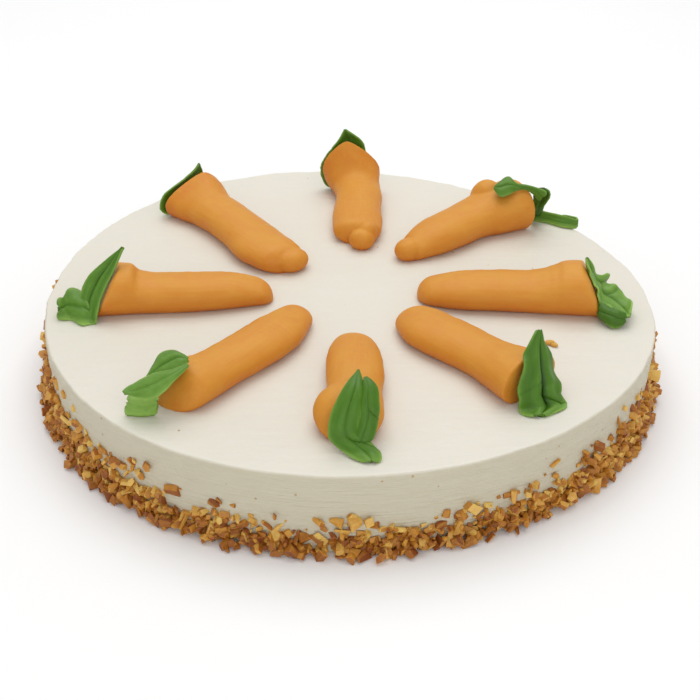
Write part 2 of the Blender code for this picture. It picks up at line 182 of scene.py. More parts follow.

# Every carrot lies like a spoke. Tip and head are in mm from the cake's middle. Its own frame starts at
# the head: X outwards, Y to the left, Z up from the cream. Stations are (x, y, half-width, height) in mm
# from tip to head, lean is how far the head's end face slopes inwards for each mm of height, peak how
# much its flare narrows to the top and how much darker its head is painted as painted shade, skew how far
# in mm its top is drawn to the left, and blunt how round its end is. Lumps are piped dots and folds, each
# ((x, y, z) of its middle, (half-length, half-width, half-height)) in mm.
CARROTS = {
    "north": dict(
        tip=(6, 41), head=(3, 104), lean=0.0, peak=0.5, skew=3, blunt=0.03,
        stations=[(-58, -0.5, 9.5, 9.5), (-52, 0, 11.3, 11), (-43, -0.5, 12, 11.5), (-31, -1, 11.5, 12.5),
                  (-19, -2.5, 11.3, 13.2), (-9, -2.2, 11.6, 14.5), (-3.5, -1, 12.8, 20.5),
                  (2.5, 0, 14.9, 29)],
        lumps=[((-60.5, -1.5, 4.3), (5.5, 6, 5)), ((-57, -4, 5.5), (5, 5, 6))],
    ),
    "north_east": dict(
        tip=(27, 29), head=(79, 67), lean=0.0, peak=0.0, skew=-1, blunt=0.035,
        stations=[(-61, 2.5, 6.5, 7.5), (-54, 3.5, 9, 10.5), (-44, 4, 11.5, 13.5), (-31, 5, 12, 14.5),
                  (-19, 6.5, 12.5, 15.5), (-8, 5, 14, 18.5), (6.2, 2.5, 14.8, 23.5)],
        lumps=[((-60.5, 2.8, 4.3), (6.5, 6, 5.2)), ((-5.5, 11.5, 11), (8, 8.5, 10.5))],
    ),
    "east": dict(
        tip=(30, -1), head=(105, -7), lean=0.5, peak=0.0, skew=0, blunt=0.03,
        stations=[(-74, -1.5, 7, 7), (-66, -2.5, 10, 10), (-55, -3, 12, 12.5), (-39, -2.5, 12.5, 13.5),
                  (-23, -2.5, 12.8, 14.5), (-11, -2, 14.3, 18.5), (6.4, -1.5, 15, 19.5)],
        lumps=[],
    ),
    "south_east": dict(
        tip=(23, -17), head=(70, -74), lean=0.05, peak=0.0, skew=0, blunt=0.03,
        stations=[(-69, -1, 6.5, 6.5), (-60, -3, 10.5, 9.5), (-49, -4.5, 12.5, 11.5), (-34, -3.5, 12, 12.5),
                  (-20, -2.5, 11.3, 13), (-7, -2.5, 13, 15.5), (4.5, -2.5, 15, 18)],
        lumps=[],
    ),
    "south": dict(
        tip=(4, -38), head=(2, -104), lean=0.3, peak=0.0, skew=0, blunt=0.12,
        stations=[(-62, -0.5, 6, 6), (-55, 0, 8.5, 9.5), (-45, 0.3, 10.8, 11.5), (-31, 1, 11.2, 12.5),
                  (-18, 1, 10.6, 13.5), (-7, -0.5, 12.8, 15.5), (7, -0.5, 13.5, 16)],
        lumps=[],
    ),
    "south_west": dict(
        tip=(-18, -18), head=(-60, -83), lean=0.4, peak=0.0, skew=0, blunt=0.09,
        stations=[(-76, 1, 6, 6.5), (-66, 3, 8.8, 9), (-52, 4.5, 11.5, 11), (-36, 4, 11.5, 12),
                  (-19, 2, 11, 12.5), (-5, 0, 12.2, 14), (9, -2.5, 13.5, 16)],
        lumps=[],
    ),
    "west": dict(
        tip=(-30, -3), head=(-102, -10), lean=0.6, peak=0.1, skew=0, blunt=0.03,
        stations=[(-71, 2.5, 6.5, 6.5), (-62, 2, 9.2, 10), (-50, 2.8, 11, 12.5), (-34, 3.5, 11.6, 13.3),
                  (-18, 3, 12, 14), (-7, 2.5, 13.2, 17.5), (6, 2.5, 14.5, 19)],
        lumps=[],
    ),
    "north_west": dict(
        tip=(-30, 24), head=(-74, 77), lean=0.1, peak=0.45, skew=-7, blunt=0.03,
        stations=[(-76, -1.5, 10, 10), (-67, 0, 12, 11.5), (-55, 0.3, 13.3, 12), (-38, -1.5, 12, 13.3),
                  (-21, -2.5, 12, 14), (-11, -2, 12.3, 14.5), (-3, -1, 13.8, 17), (6.5, -0.3, 15.6, 19.8)],
        lumps=[((-74, -3.5, 4.4), (6.5, 8, 5.2))],
    ),
}

# Every leaf is one or more piped blades. A blade runs from its foot on the cream up the head to its
# drawn-out tip. Its left and right edges are (x, y, z) in mm in its carrot's frame, from foot to tip. Bow
# is how far its middle swells outwards in mm, ruffle the height in mm and the number of the waves in its
# edges, fold the depth in mm and the place across, from -1 to 1, of the groove along it, and shade how
# much paler or darker its icing is painted: partly its own tone, partly painted shade on blades that lie
# low or under others. Creases are soft folds running out from the groove: how far along each lies, its
# depth in mm, and 1 for left or -1 for right.
LEAVES = {
    "north": [
        dict(left=[(4.4, 13.5, 1), (4.6, 15.6, 7.5), (4.6, 15.9, 12.5), (4.6, 13.9, 17.5), (4.6, 10.3, 22),
                   (4.6, 6.8, 27), (4.2, 4.4, 31.8)],
             right=[(5, -2, 1), (5, -6, 7), (5, -7, 13), (5, -7, 19), (4.6, -6, 24.2), (4.5, -3.8, 27.1),
                    (4.2, 2.8, 32)],
             bow=1.5, ruffle=(0.3, 2), fold=(0.5, 0), shade=-0.05),
    ],
    "north_east": [
        dict(left=[(8, -15.5, 22), (6.5, -11, 22.5), (3.5, -6, 23), (0, -2.5, 23.5), (-1, 2.5, 25),
                   (-4.5, 4, 23.5), (-8, 3.5, 21.5)],
             right=[(7, -11, 15.5), (5, -9, 19), (2.5, -5.5, 20.5), (-1, -4, 20.5), (-7, -4.5, 20),
                    (-10.5, -2.5, 19.5), (-9.5, 2.5, 20.5)],
             bow=0.8, ruffle=(0.3, 2), fold=(0.4, 0), shade=0.05),
        dict(left=[(15.5, -6, 4.5), (10, -12, 12.5), (9.6, -15.2, 18.5), (8.5, -15.5, 22.3)],
             right=[(11, -3, 0), (7.4, -7, 8.5), (7, -7.5, 15), (6, -8, 20.5)],
             bow=-1.8, ruffle=(0.3, 1), fold=(0.5, 0), shade=-0.22),
        dict(left=[(15, -2, 6), (18.8, -9, 5.5), (22.8, -15.5, 5), (25, -19.5, 4.5), (26.5, -17.5, 4.5),
                   (22.5, -12, 5)],
             right=[(11.5, -1.5, 0.3), (16.4, -8.2, 0.4), (19.3, -16, 0.4), (24, -20.7, 0.4),
                    (26.2, -17.7, 0.4), (21, -11, 0.4)],
             bow=0.3, ruffle=(0.2, 2), fold=(0.2, 0), shade=0.05),
    ],
    "east": [
        dict(left=[(15.8, -14.5, 4.8), (16.4, -5.5, 5.6), (12.8, -0.5, 7.2), (8.2, 1.6, 8.6), (8, 6, 10.5),
                   (4.3, 2.6, 12.5), (1, 1.8, 16), (-2.5, 0.2, 22)],
             right=[(14.5, -19.5, 5.2), (9.5, -18.5, 5.8), (5.8, -15.5, 6.8), (2.6, -13, 9), (1, -9.5, 12),
                    (-0.8, -6, 14.5), (-2.5, -3, 18), (-3.2, -0.8, 21.5)],
             bow=-1.8, ruffle=(1.3, 3.5), fold=(0.7, 0.2), shade=0.2,
             creases=[(0.4, 0.7, 1), (0.62, 0.5, 1)]),
        dict(left=[(13.2, -17.5, 6), (9.4, -16.6, 7), (5.6, -14.4, 7.6), (2.6, -13, 8.4)],
             right=[(12.5, -19.5, 1.5), (9, -21.5, 0.5), (5.8, -20.4, 1.4), (3, -16.5, 2)],
             bow=1.8, ruffle=(0.4, 1.5), fold=(0.5, 0), shade=-0.12),
    ],
    "south_east": [
        dict(left=[(18.5, -6, 0.2), (18, 3.5, 0.2), (14, 3.5, 4), (10, 6.3, 6.8), (6.8, 5.8, 12),
                   (3.8, 4.9, 19), (0, 5, 24.5)],
             right=[(14, -14, 0.2), (10, -14.5, 2), (8.5, -14.5, 6.5), (7.3, -13, 11), (5.2, -10, 16.5),
                    (2.7, -5.5, 20.5), (0, 0.8, 26)],
             bow=0.8, ruffle=(1.1, 3), fold=(1.5, 0.1), shade=-0.1,
             creases=[(0.3, 0.8, 1), (0.52, 0.25, -1)]),
    ],
    "south": [
        dict(left=[(17, 12, 0.2), (13, 11, 2), (10, 6.5, 5), (8.5, 3.4, 8.5), (4, 4.4, 14.8), (-1, 5, 19.2),
                   (-10, 3, 20.7)],
             right=[(17.5, 4, 0.2), (13.5, -1.5, 1.5), (10.5, -6.5, 4.5), (8.5, -7.5, 8.5), (4, -5.5, 15),
                    (-2, -2, 19.5), (-10, 2.2, 20.7)],
             bow=1.0, ruffle=(0.5, 2), fold=(0.35, 0.1), shade=0.0, creases=[(0.34, 0.6, 1)]),
        dict(left=[(10.2, 8.5, 4.6), (7.6, 9.6, 8), (5.2, 10.3, 12), (2.5, 10.4, 16.3), (-2, 9.2, 20),
                   (-5, 6, 21.2)],
             right=[(10.6, 1.2, 4.6), (8.8, 2.6, 8.5), (6.6, 3.4, 12), (4.2, 3.6, 15.5), (0, 4.4, 19.3),
                    (-4.5, 4.6, 21)],
             bow=1.5, ruffle=(0.5, 2), fold=(0.3, -0.2), shade=-0.04, creases=[(0.5, 0.5, 1)]),
    ],
    "south_west": [
        dict(left=[(20.6, -10, 10.2), (19.5, -5.5, 9.5), (18.5, 0, 11), (15, 3, 13), (10, 4, 15),
                   (2, 4.5, 17.3)],
             right=[(20.8, -12, 10.6), (17.5, -11.5, 11.5), (13.5, -9, 13), (9.5, -5, 15), (6.5, 0, 17),
                    (1.5, 3.2, 18)],
             bow=0.7, ruffle=(0.3, 1.5), fold=(0.3, 0), shade=0.16),
        dict(left=[(12, -7.5, 12.2), (9, -4, 13.8), (6, 0, 15.6), (2.5, 2, 17), (0, 2.5, 17.3)],
             right=[(9.5, -8.5, 13.2), (5.5, -9.8, 14.8), (1, -10, 17), (-2, -6, 18.5), (-1.5, 1.5, 18.5)],
             bow=1.4, ruffle=(0.3, 1.5), fold=(0.5, 0.2), shade=0.1),
        dict(left=[(20.2, -9.5, 9.8), (18.6, -4, 9.8), (15.5, 0.5, 11)],
             right=[(21, -12, 0.3), (18, -6, 0.2), (14.5, -2, 0.2)],
             bow=1.2, ruffle=(0.3, 1), fold=(0.2, 0), shade=0.4),
    ],
    "west": [
        dict(left=[(3, 18.5, 0), (2.5, 18, 4.5), (1, 14.5, 9), (-2.3, 8.8, 14), (-5.3, 5.8, 19.5),
                   (-9, 1.7, 26.7)],
             right=[(10.5, 19, 0), (10.5, 12, 5), (9.5, 7, 9.5), (6, 2.5, 15), (-0.5, 0, 20),
                    (-8.8, 0.8, 26.7)],
             bow=-1.0, ruffle=(0.3, 2), fold=(0.9, -0.1), shade=0.0),
        dict(left=[(7, 10, 7), (9, 6, 8.5), (12, 3.5, 9), (15.5, 4, 8.8), (17.5, 6, 6.5), (19.5, 8.5, 8)],
             right=[(3.5, 18.3, 0), (6.5, 19.3, 0), (9.5, 19, 0), (14, 15, 0), (17, 14.3, 0), (19.5, 14, 0)],
             bow=1.2, ruffle=(0.5, 2.5), fold=(0.4, 0), shade=0.08),
    ],
    "north_west": [
        dict(left=[(7.5, 12.8, 0.6), (8, 14.4, 4), (8, 14.2, 8), (8, 11.8, 11.2), (8, 7, 13.2), (8, 0, 15.8),
                   (8, -5.6, 18.7), (7.5, -8.6, 21.6)],
             right=[(9, 0, 0.6), (9.5, -8, 4), (9.5, -9, 7), (9.5, -10, 10), (9.5, -11, 12), (9, -11.5, 15),
                    (8.6, -11, 18), (7.5, -9.2, 21.6)],
             bow=1.0, ruffle=(0.2, 2), fold=(0.4, 0), shade=-0.05),
    ],
}


def make_object(name, mesh, material=None):
    if material:
        mesh.materials.clear()
        mesh.materials.append(material)
    obj = bpy.data.objects.new(name, mesh)
    bpy.context.scene.collection.objects.link(obj)
    return obj


def plain_mesh(bm, name):
    mesh = bpy.data.meshes.new(name)
    bm.to_mesh(mesh)
    bm.free()
    return mesh


def smooth_mesh(bm, name):
    bmesh.ops.recalc_face_normals(bm, faces=bm.faces)
    mesh = plain_mesh(bm, name)
    mesh.shade_smooth()
    return mesh


def join_rows(bm, rows, closed=True):
    """Faces between each row of corners and the next, and round to the first corner of closed rows."""
    for row, following in zip(rows, rows[1:]):
        for k in range(len(row) if closed else len(row) - 1):
            n = (k + 1) % len(row)
            bm.faces.new((row[k], row[n], following[n], following[k]))


def close_ring(bm, ring, middle):
    """Faces from a ring of corners to the one in its middle."""
    for k, corner in enumerate(ring):
        bm.faces.new((corner, ring[(k + 1) % len(ring)], middle))


def settle_modifiers(obj):
    """Turns the object's modifiers into plain mesh."""
    graph = bpy.context.evaluated_depsgraph_get()
    mesh = bpy.data.meshes.new_from_object(obj.evaluated_get(graph))
    obj.modifiers.clear()
    obj.data = mesh


def hand_in(obj, node=None):
    """Makes a finished piece ride on the cake and stand for its solid."""
    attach(obj, "root")
    if node:
        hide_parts(node)
    return obj


def on_circle(angle, scale=1.0):
    return scale * math.cos(angle), scale * math.sin(angle)


def cake_radius(angle):
    second = OUT_OF_ROUND_2 * math.sin(2 * angle)
    third = OUT_OF_ROUND_3[0] * math.cos(3 * angle) + OUT_OF_ROUND_3[1] * math.sin(3 * angle)
    return CAKE_RADIUS * (1 + second + third)


def ripple(x, y, z, seed=0.0):
    """Smooth noise from about -1 to 1."""
    return noise.noise(Vector((x, y, z + 17.3 * seed)))


def fill(node, values):
    """Gives a node's inputs their values."""
    for label, value in values.items():
        node.inputs[label].default_value = value
    return node


class Finish:
    """A material under construction: a Principled shader and short ways to add and join nodes."""

    def __init__(self, name, roughness):
        self.material = bpy.data.materials.new(name)
        self.material.use_nodes = True
        self.tree = self.material.node_tree
        self.shader = self.tree.nodes["Principled BSDF"]
        self.shader.inputs["Roughness"].default_value = roughness
        self.place = self.node("ShaderNodeTexCoord").outputs["Object"]

    def node(self, kind, **settings):
        made = self.tree.nodes.new(kind)
        for key, value in settings.items():
            setattr(made, key, value)
        return made

    def join(self, source, target):
        self.tree.links.new(source, target)

    def value(self, target, source):
        if isinstance(source, (int, float)):
            target.default_value = source
        else:
            self.join(source, target)

    def stretched(self, scale, source=None):
        """Coordinates scaled differently along X, Y and Z."""
        mapping = fill(self.node("ShaderNodeMapping"), {"Scale": scale})
        self.join(source or self.place, mapping.inputs["Vector"])
        return mapping.outputs["Vector"]

    def grain(self, scale, detail=4, roughness=0.55, source=None):
        values = {"Scale": scale, "Detail": detail, "Roughness": roughness}
        made = fill(self.node("ShaderNodeTexNoise"), values)
        self.join(source or self.place, made.inputs["Vector"])
        return made.outputs["Fac"]

    def math(self, operation, first, second=0.0):
        made = self.node("ShaderNodeMath", operation=operation)
        self.value(made.inputs[0], first)
        self.value(made.inputs[1], second)
        return made.outputs[0]

    def span(self, source, low, high, to_low=0.0, to_high=1.0):
        """source, spread so that low becomes to_low and high becomes to_high, and held within them."""
        values = {"From Min": low, "From Max": high, "To Min": to_low, "To Max": to_high}
        made = fill(self.node("ShaderNodeMapRange"), values)
        self.join(source, made.inputs["Value"])
        return made.outputs["Result"]

    def ramp(self, source, stops):
        stops = list(stops)
        made = self.node("ShaderNodeValToRGB")
        self.join(source, made.inputs["Fac"])
        elements = made.color_ramp.elements
        while len(elements) < len(stops):
            elements.new(0.5)
        for element, (position, colour) in zip(elements, stops):
            element.position = position
            element.color = (*colour, 1)
        return made.outputs["Color"]

    def mix(self, share, first, second, blend="MIX"):
        made = self.node("ShaderNodeMix", data_type="RGBA", blend_type=blend)
        self.value(made.inputs["Factor"], share)
        for socket, colour in ((made.inputs[6], first), (made.inputs[7], second)):
            if isinstance(colour, tuple):
                socket.default_value = (*colour, 1)
            else:
                self.join(colour, socket)
        return made.outputs[2]

    def cells(self, scale):
        """A pattern of cells: the distance to the middle of each, and its own colour."""
        made = fill(self.node("ShaderNodeTexVoronoi", feature="F1"), {"Scale": scale})
        self.join(self.place, made.inputs["Vector"])
        return made.outputs["Distance"], made.outputs["Color"]

    def attribute(self, name, output="Fac"):
        return self.node("ShaderNodeAttribute", attribute_name=name).outputs[output]

    def colour(self, source):
        self.join(source, self.shader.inputs["Base Color"])

    def roughness(self, source):
        self.join(source, self.shader.inputs["Roughness"])

    def let_light_in(self, weight, reach):
        """Light that goes into the material, and how far its red, green and blue reach there in metres."""
        fill(self.shader, {"Subsurface Weight": weight, "Subsurface Radius": reach, "Subsurface Scale": 1.0})

    def relief(self, layers):
        """Bumps, each (height, how far it stands out in metres, strength), one on top of another."""
        normal = None
        for height, distance, strength in layers:
            bump = fill(self.node("ShaderNodeBump"), {"Distance": distance, "Strength": strength})
            self.join(height, bump.inputs["Height"])
            if normal:
                self.join(normal, bump.inputs["Normal"])
            normal = bump.outputs["Normal"]
        self.join(normal, self.shader.inputs["Normal"])


def cream_finish():
    """Whipped cream, spread smooth: fine level spatula lines, tiny pits, a few stray specks, painted shade on
    the side.
    """
    finish = Finish("whipped_cream", 0.5)
    lines = finish.grain(1, detail=5, roughness=0.6, source=finish.stretched((16, 16, 900)))
    sweeps = finish.grain(22, detail=3)
    dashes = finish.grain(1, detail=3, roughness=0.6, source=finish.stretched((70, 300, 1500)))
    pores = finish.grain(900, detail=3)
    patches = finish.grain(9, detail=4)
    tone = finish.mix(finish.span(patches, 0.35, 0.68), *CREAM_TONES)
    streaked = finish.mix(finish.span(lines, 0.35, 0.62, 0.0, 0.35), CREAM_STREAK, tone)
    side = finish.attribute("side")
    # Painted shade: the side is painted darker and warmer than the top, for the light that falls from above
    spread = finish.mix(finish.span(side, 0.1, 0.9), tone, finish.mix(SIDE_PAINTED_SHADE_MIX, CREAM_PAINTED_SHADE, streaked))
    distance, luck = finish.cells(SPECK_CELLS)
    near = finish.math("LESS_THAN", distance, 0.1)
    chance = finish.node("ShaderNodeSeparateColor")
    finish.join(luck, chance.inputs["Color"])
    rare = finish.math("GREATER_THAN", chance.outputs["Red"], finish.span(side, 0, 1, 0.95, 0.6))
    finish.colour(finish.mix(finish.math("MULTIPLY", near, rare), spread, CREAM_SPECK))
    finish.roughness(finish.span(pores, 0.3, 0.7, 0.42, 0.6))
    finish.let_light_in(0.12, (0.004, 0.003, 0.0018))
    finish.relief(
        [(sweeps, 0.9 * MM, 0.3), (lines, 0.9 * MM, 0.7), (dashes, 0.6 * MM, 0.45), (pores, 0.15 * MM, 0.35)]
    )
    return finish.material


def icing_finish(name, tones, roughness, streaky):
    """Piped icing: streaks along the piping, satin sheen, small bubbles and bumps, painted light and shade.
    """
    finish = Finish(name, roughness)
    piped = finish.attribute("piped", "Vector")
    streaks = finish.grain(1, detail=4, source=finish.stretched((45, 900, 900), piped))
    clouds = finish.grain(1, detail=4, source=finish.stretched((90, 140, 140), piped))
    pores = finish.grain(1400, detail=2)
    # depth carries painted light and shade: the ramp runs from painted shade to painted light
    shade = finish.attribute("depth")
    blend = finish.math("ADD", finish.span(clouds, 0.3, 0.7, -0.14 * streaky, 0.14 * streaky), shade)
    blend = finish.math("ADD", blend, finish.span(streaks, 0.3, 0.7, -0.07 * streaky, 0.07 * streaky))
    finish.colour(finish.ramp(blend, zip((0.0, 0.5, 1.0), tones)))
    finish.roughness(finish.span(clouds, 0.3, 0.7, roughness - 0.07, roughness + 0.07))
    finish.let_light_in(0.1, (0.003, 0.0012, 0.0005))
    finish.shader.inputs["Specular IOR Level"].default_value = 0.3
    soft = 0.3 * streaky
    finish.relief([(clouds, 0.8 * MM, soft), (streaks, 0.3 * MM, soft), (pores, 0.08 * MM, 0.3)])
    return finish.material


def nut_finish():
    """Chopped toasted nuts: brown skins, paler cut faces, each chip toasted a little differently, painted
    shade.
    """
    finish = Finish("toasted_nuts", 0.55)
    tone = finish.attribute("tone")
    # Painted shade: chips are painted darker near the floor and a little paler higher up, added to their
    # toast
    height = finish.node("ShaderNodeSeparateXYZ")
    finish.join(finish.place, height.inputs["Vector"])
    tone = finish.math("ADD", tone, finish.span(height.outputs["Z"], 0.002, 0.012, -0.35, 0.1))
    skin = finish.attribute("skin")
    grit = finish.grain(520, detail=4)
    toast = finish.math("ADD", tone, finish.span(grit, 0.3, 0.7, -0.16, 0.16))
    cut = finish.ramp(toast, zip((0.0, 0.5, 1.0), NUT_CUT_TONES))
    brown = finish.ramp(toast, zip((0.0, 0.6, 1.0), NUT_SKIN_TONES))
    finish.colour(finish.mix(skin, cut, brown))
    finish.roughness(finish.span(grit, 0.3, 0.7, 0.4, 0.65))
    finish.let_light_in(0.2, (0.003, 0.0014, 0.0004))
    finish.relief([(grit, 0.5 * MM, 0.5)])
    return finish.material


def sponge_finish():
    """The baked underside: an open brown crumb, with painted shade in its holes."""
    finish = Finish("baked_sponge", 0.8)
    crumb = finish.grain(260, detail=6, roughness=0.7)
    open_crumb = finish.span(finish.cells(SPONGE_CELLS)[0], 0.05, 0.5)
    tone = finish.ramp(crumb, zip((0.3, 0.55, 0.75), SPONGE_TONES))
    # Painted shade: the holes of the open crumb are painted dark
    finish.colour(finish.mix(open_crumb, SPONGE_HOLE_SHADE, tone))
    finish.roughness(finish.span(crumb, 0.3, 0.7, 0.7, 0.9))
    finish.relief([(open_crumb, 0.8 * MM, 0.6), (crumb, 0.6 * MM, 0.5)])
    return finish.material


def floor_finish():
    finish = Finish("pale_floor", 0.6)
    cloud = finish.grain(3, detail=2)
    finish.colour(finish.mix(finish.span(cloud, 0.3, 0.7), *FLOOR_TONES))
    return finish.material


def cream_profile():
    """Rings as (share of the radius, metres further out, height, share of side), from underneath up."""
    rows = [(0.5, 0.0, BASE_RECESS, 0), (BASE_SHARE, 0.0, BASE_RECESS, 0)]
    rows += [(BASE_SHARE + 0.004, 0.0, 0.0, 0), (0.995, 0.0, 0.0, 0.5)]
    for k in range(SIDE_ROWS + 1):
        height = SIDE_FOOT + (CAKE_HEIGHT - EDGE_ROUND - SIDE_FOOT) * k / SIDE_ROWS
        rows.append((1.0, 0.0, height, 1))
    for k in range(1, EDGE_ROWS + 1):
        turn = math.pi / 2 * k / EDGE_ROWS
        out = EDGE_ROUND * (math.cos(turn) - 1)
        rows.append((1.0, out, CAKE_HEIGHT - EDGE_ROUND * (1 - math.sin(turn)), 1 - k / EDGE_ROWS))
    for k in range(1, TOP_RINGS):
        share = (1 - k / TOP_RINGS) ** 0.9
        rows.append((share, -EDGE_ROUND * share, CAKE_HEIGHT, 0))
    return rows


def cream_point(angle, share, out, height, side):
    """A point of the cream's surface, with the marks of the spatula that spread it."""
    across, back = on_circle(angle)
    radius = cake_radius(angle) * share + out
    x, y, z = radius * across, radius * back, height
    if side > 0:
        level = z / MM
        wave = ripple(across * 5, back * 5, level * 0.55, 1)
        wave += 0.6 * ripple(across * 14, back * 14, level * 1.5, 2)
        belly = ripple(across * 2.2, back * 2.2, level * 0.05, 3)
        radius += side * (SIDE_LINES * wave + SIDE_BELLY * belly)
        x, y = radius * across, radius * back
    if height > CAKE_HEIGHT - EDGE_ROUND * 1.01:
        rim = max(0.0, 1 - abs(cake_radius(angle) - radius) / EDGE_REACH)
        sweep = ripple(x * 22, y * 70, 0.0, 4) + 0.5 * ripple(x * 90, y * 180, 0.0, 5)
        wander = ripple(across * 9, back * 9, 0.0, 6) + 0.6 * ripple(across * 34, back * 34, 0.0, 7)
        z += TOP_SWEEPS * sweep * (1 - side) + EDGE_WANDER * rim * wander * 0.5
        x += across * EDGE_WANDER * rim * wander
        y += back * EDGE_WANDER * rim * wander
    return Vector((x, y, z))


def build_cream(material):
    bm = bmesh.new()
    side_layer = bm.verts.layers.float.new("side")
    bottom = bm.verts.new((0, 0, BASE_RECESS))
    rings = []
    for share, out, height, side in cream_profile():
        ring = []
        for k in range(CREAM_SPOKES):
            vert = bm.verts.new(cream_point(2 * math.pi * k / CREAM_SPOKES, share, out, height, side))
            vert[side_layer] = side
            ring.append(vert)
        rings.append(ring)
    top = bm.verts.new((0, 0, CAKE_HEIGHT))
    close_ring(bm, rings[0], bottom)
    join_rows(bm, rings)
    close_ring(bm, rings[-1], top)
    cream = make_object("cream_coat", smooth_mesh(bm, "cream_coat"), material)
    hand_in(cream, "cake")


def build_base(material):
    """The sponge that shows underneath, inside the cream's foot, with its crumb as low relief."""
    bm = bmesh.new()
    # (share of the base's radius, height), from inside the cake round to the middle of the underside
    profile = [(0.985, BASE_RECESS + BASE_CRUMB), (1.0, BASE_RECESS * 0.6), (0.99, BASE_LOWEST)]
    profile += [(0.96 - 0.96 * (k / BASE_RINGS), BASE_FLAT) for k in range(BASE_RINGS)]
    rings = []
    for share, height in profile:
        ring = []
        for k in range(BASE_SPOKES):
            angle = 2 * math.pi * k / BASE_SPOKES
            x, y = on_circle(angle, cake_radius(angle) * BASE_SHARE * share * 0.998)
            crumb = max(0.0, ripple(x * 210, y * 210, 0, 8)) * BASE_CRUMB
            ring.append(bm.verts.new((x, y, height + crumb)))
        rings.append(ring)
    top = bm.verts.new((0, 0, BASE_RECESS + BASE_CRUMB))
    bottom = bm.verts.new((0, 0, BASE_LOWEST))
    join_rows(bm, rings)
    close_ring(bm, rings[0], top)
    close_ring(bm, rings[-1], bottom)
    base = make_object("sponge_base", smooth_mesh(bm, "sponge_base"), material)
    hand_in(base, "cake")


def smooth_path(stations, amount):
    """A Catmull-Rom spline through the stations, at amount from 0 to 1."""
    place = amount * (len(stations) - 1)
    first = min(int(place), len(stations) - 2)
    t = place - first
    before, a, b, after = (stations[min(max(first + k, 0), len(stations) - 1)] for k in (-1, 0, 1, 2))
    return Vector(
        0.5 * (2 * q + (r - p) * t + (2 * p - 5 * q + 4 * r - s) * t**2 + (3 * q - p - 3 * r + s) * t**3)
        for p, q, r, s in zip(before, a, b, after)
    )


def carrot_frame(carrot):
    """The carrot's own frame: its origin under the head on the cream, X outwards, Y to the left, Z up."""
    tip = Vector((*carrot["tip"], 0)) * MM
    head = Vector((*carrot["head"], 0)) * MM
    along = (head - tip).normalized()
    turn = Matrix((along, Vector((-along.y, along.x, 0)), Vector((0, 0, 1)))).transposed().to_4x4()
    return Matrix.Translation((head.x, head.y, CAKE_HEIGHT)) @ turn


def end_swell(amount, blunt):
    """How far the rope has swelled to full size, from 0 at its very ends to 1."""
    share = min(amount / ROPE_TIP_SHARE, (1 - amount) / blunt, 1)
    return math.sqrt(max(0, 1 - (1 - share) ** 2))


def flare_at(x):
    """How far the head has flared at a point along the carrot, from 0 to 1 at its end."""
    return min(max(1 + x / FLARE_LENGTH, 0), 1)


def rope_ring(carrot, amount):
    """One ring of the rope: an oval that lies flat on the cream and leans with the flare of the head."""
    x, y, half_width, height = smooth_path(carrot["stations"], amount) * MM
    swell = end_swell(amount, carrot["blunt"])
    flare = flare_at(x)
    ring = []
    for k in range(ROPE_SIDES):
        angle = 2 * math.pi * k / ROPE_SIDES
        above = max(WIDEST_AT + (1 - WIDEST_AT) * math.sin(angle), 0)
        up = height * (0.25 + 0.75 * swell) * above
        narrowed = 1 - flare * carrot["peak"] * max(math.sin(angle), 0) ** 2
        out = half_width * swell * math.cos(angle) * narrowed
        left = y + out + flare * carrot["skew"] * MM * above**2
        ring.append(Vector((x - carrot["lean"] * flare * up, left, up)))
    return ring


def add_rope(bm, carrot):
    rows = []
    for k in range(ROPE_RINGS):
        amount = 0.5 - 0.5 * math.cos(math.pi * (k + 0.35) / (ROPE_RINGS - 0.3))
        rows.append([bm.verts.new(point) for point in rope_ring(carrot, amount)])
    join_rows(bm, rows)
    for row in (rows[0], rows[-1]):
        close_ring(bm, row, bm.verts.new(sum((v.co for v in row), Vector()) / ROPE_SIDES))


def add_lump(bm, middle, halves):
    made = bmesh.ops.create_uvsphere(bm, u_segments=LUMP_SPOKES, v_segments=LUMP_RINGS, radius=1)
    for vert in made["verts"]:
        vert.co = Vector((m + h * c) * MM for m, h, c in zip(middle, halves, vert.co))
        vert.co.z = max(vert.co.z, LOWEST_POINT)


def piping_marks(point, seed):
    """How far the icing swells at a point in the rope's own frame, from the squeeze of the bag."""
    x, y, z = point / MM
    pulse = ripple(x * 0.16, y * 0.03, z * 0.03, seed) + 0.45 * ripple(x * 0.5, y * 0.05, z * 0.05, seed + 3)
    drag = 0.3 * ripple(x * 0.05, y * 0.55, z * 0.55, seed + 5)
    return PULSE_HEIGHT * (1.5 * pulse + drag)


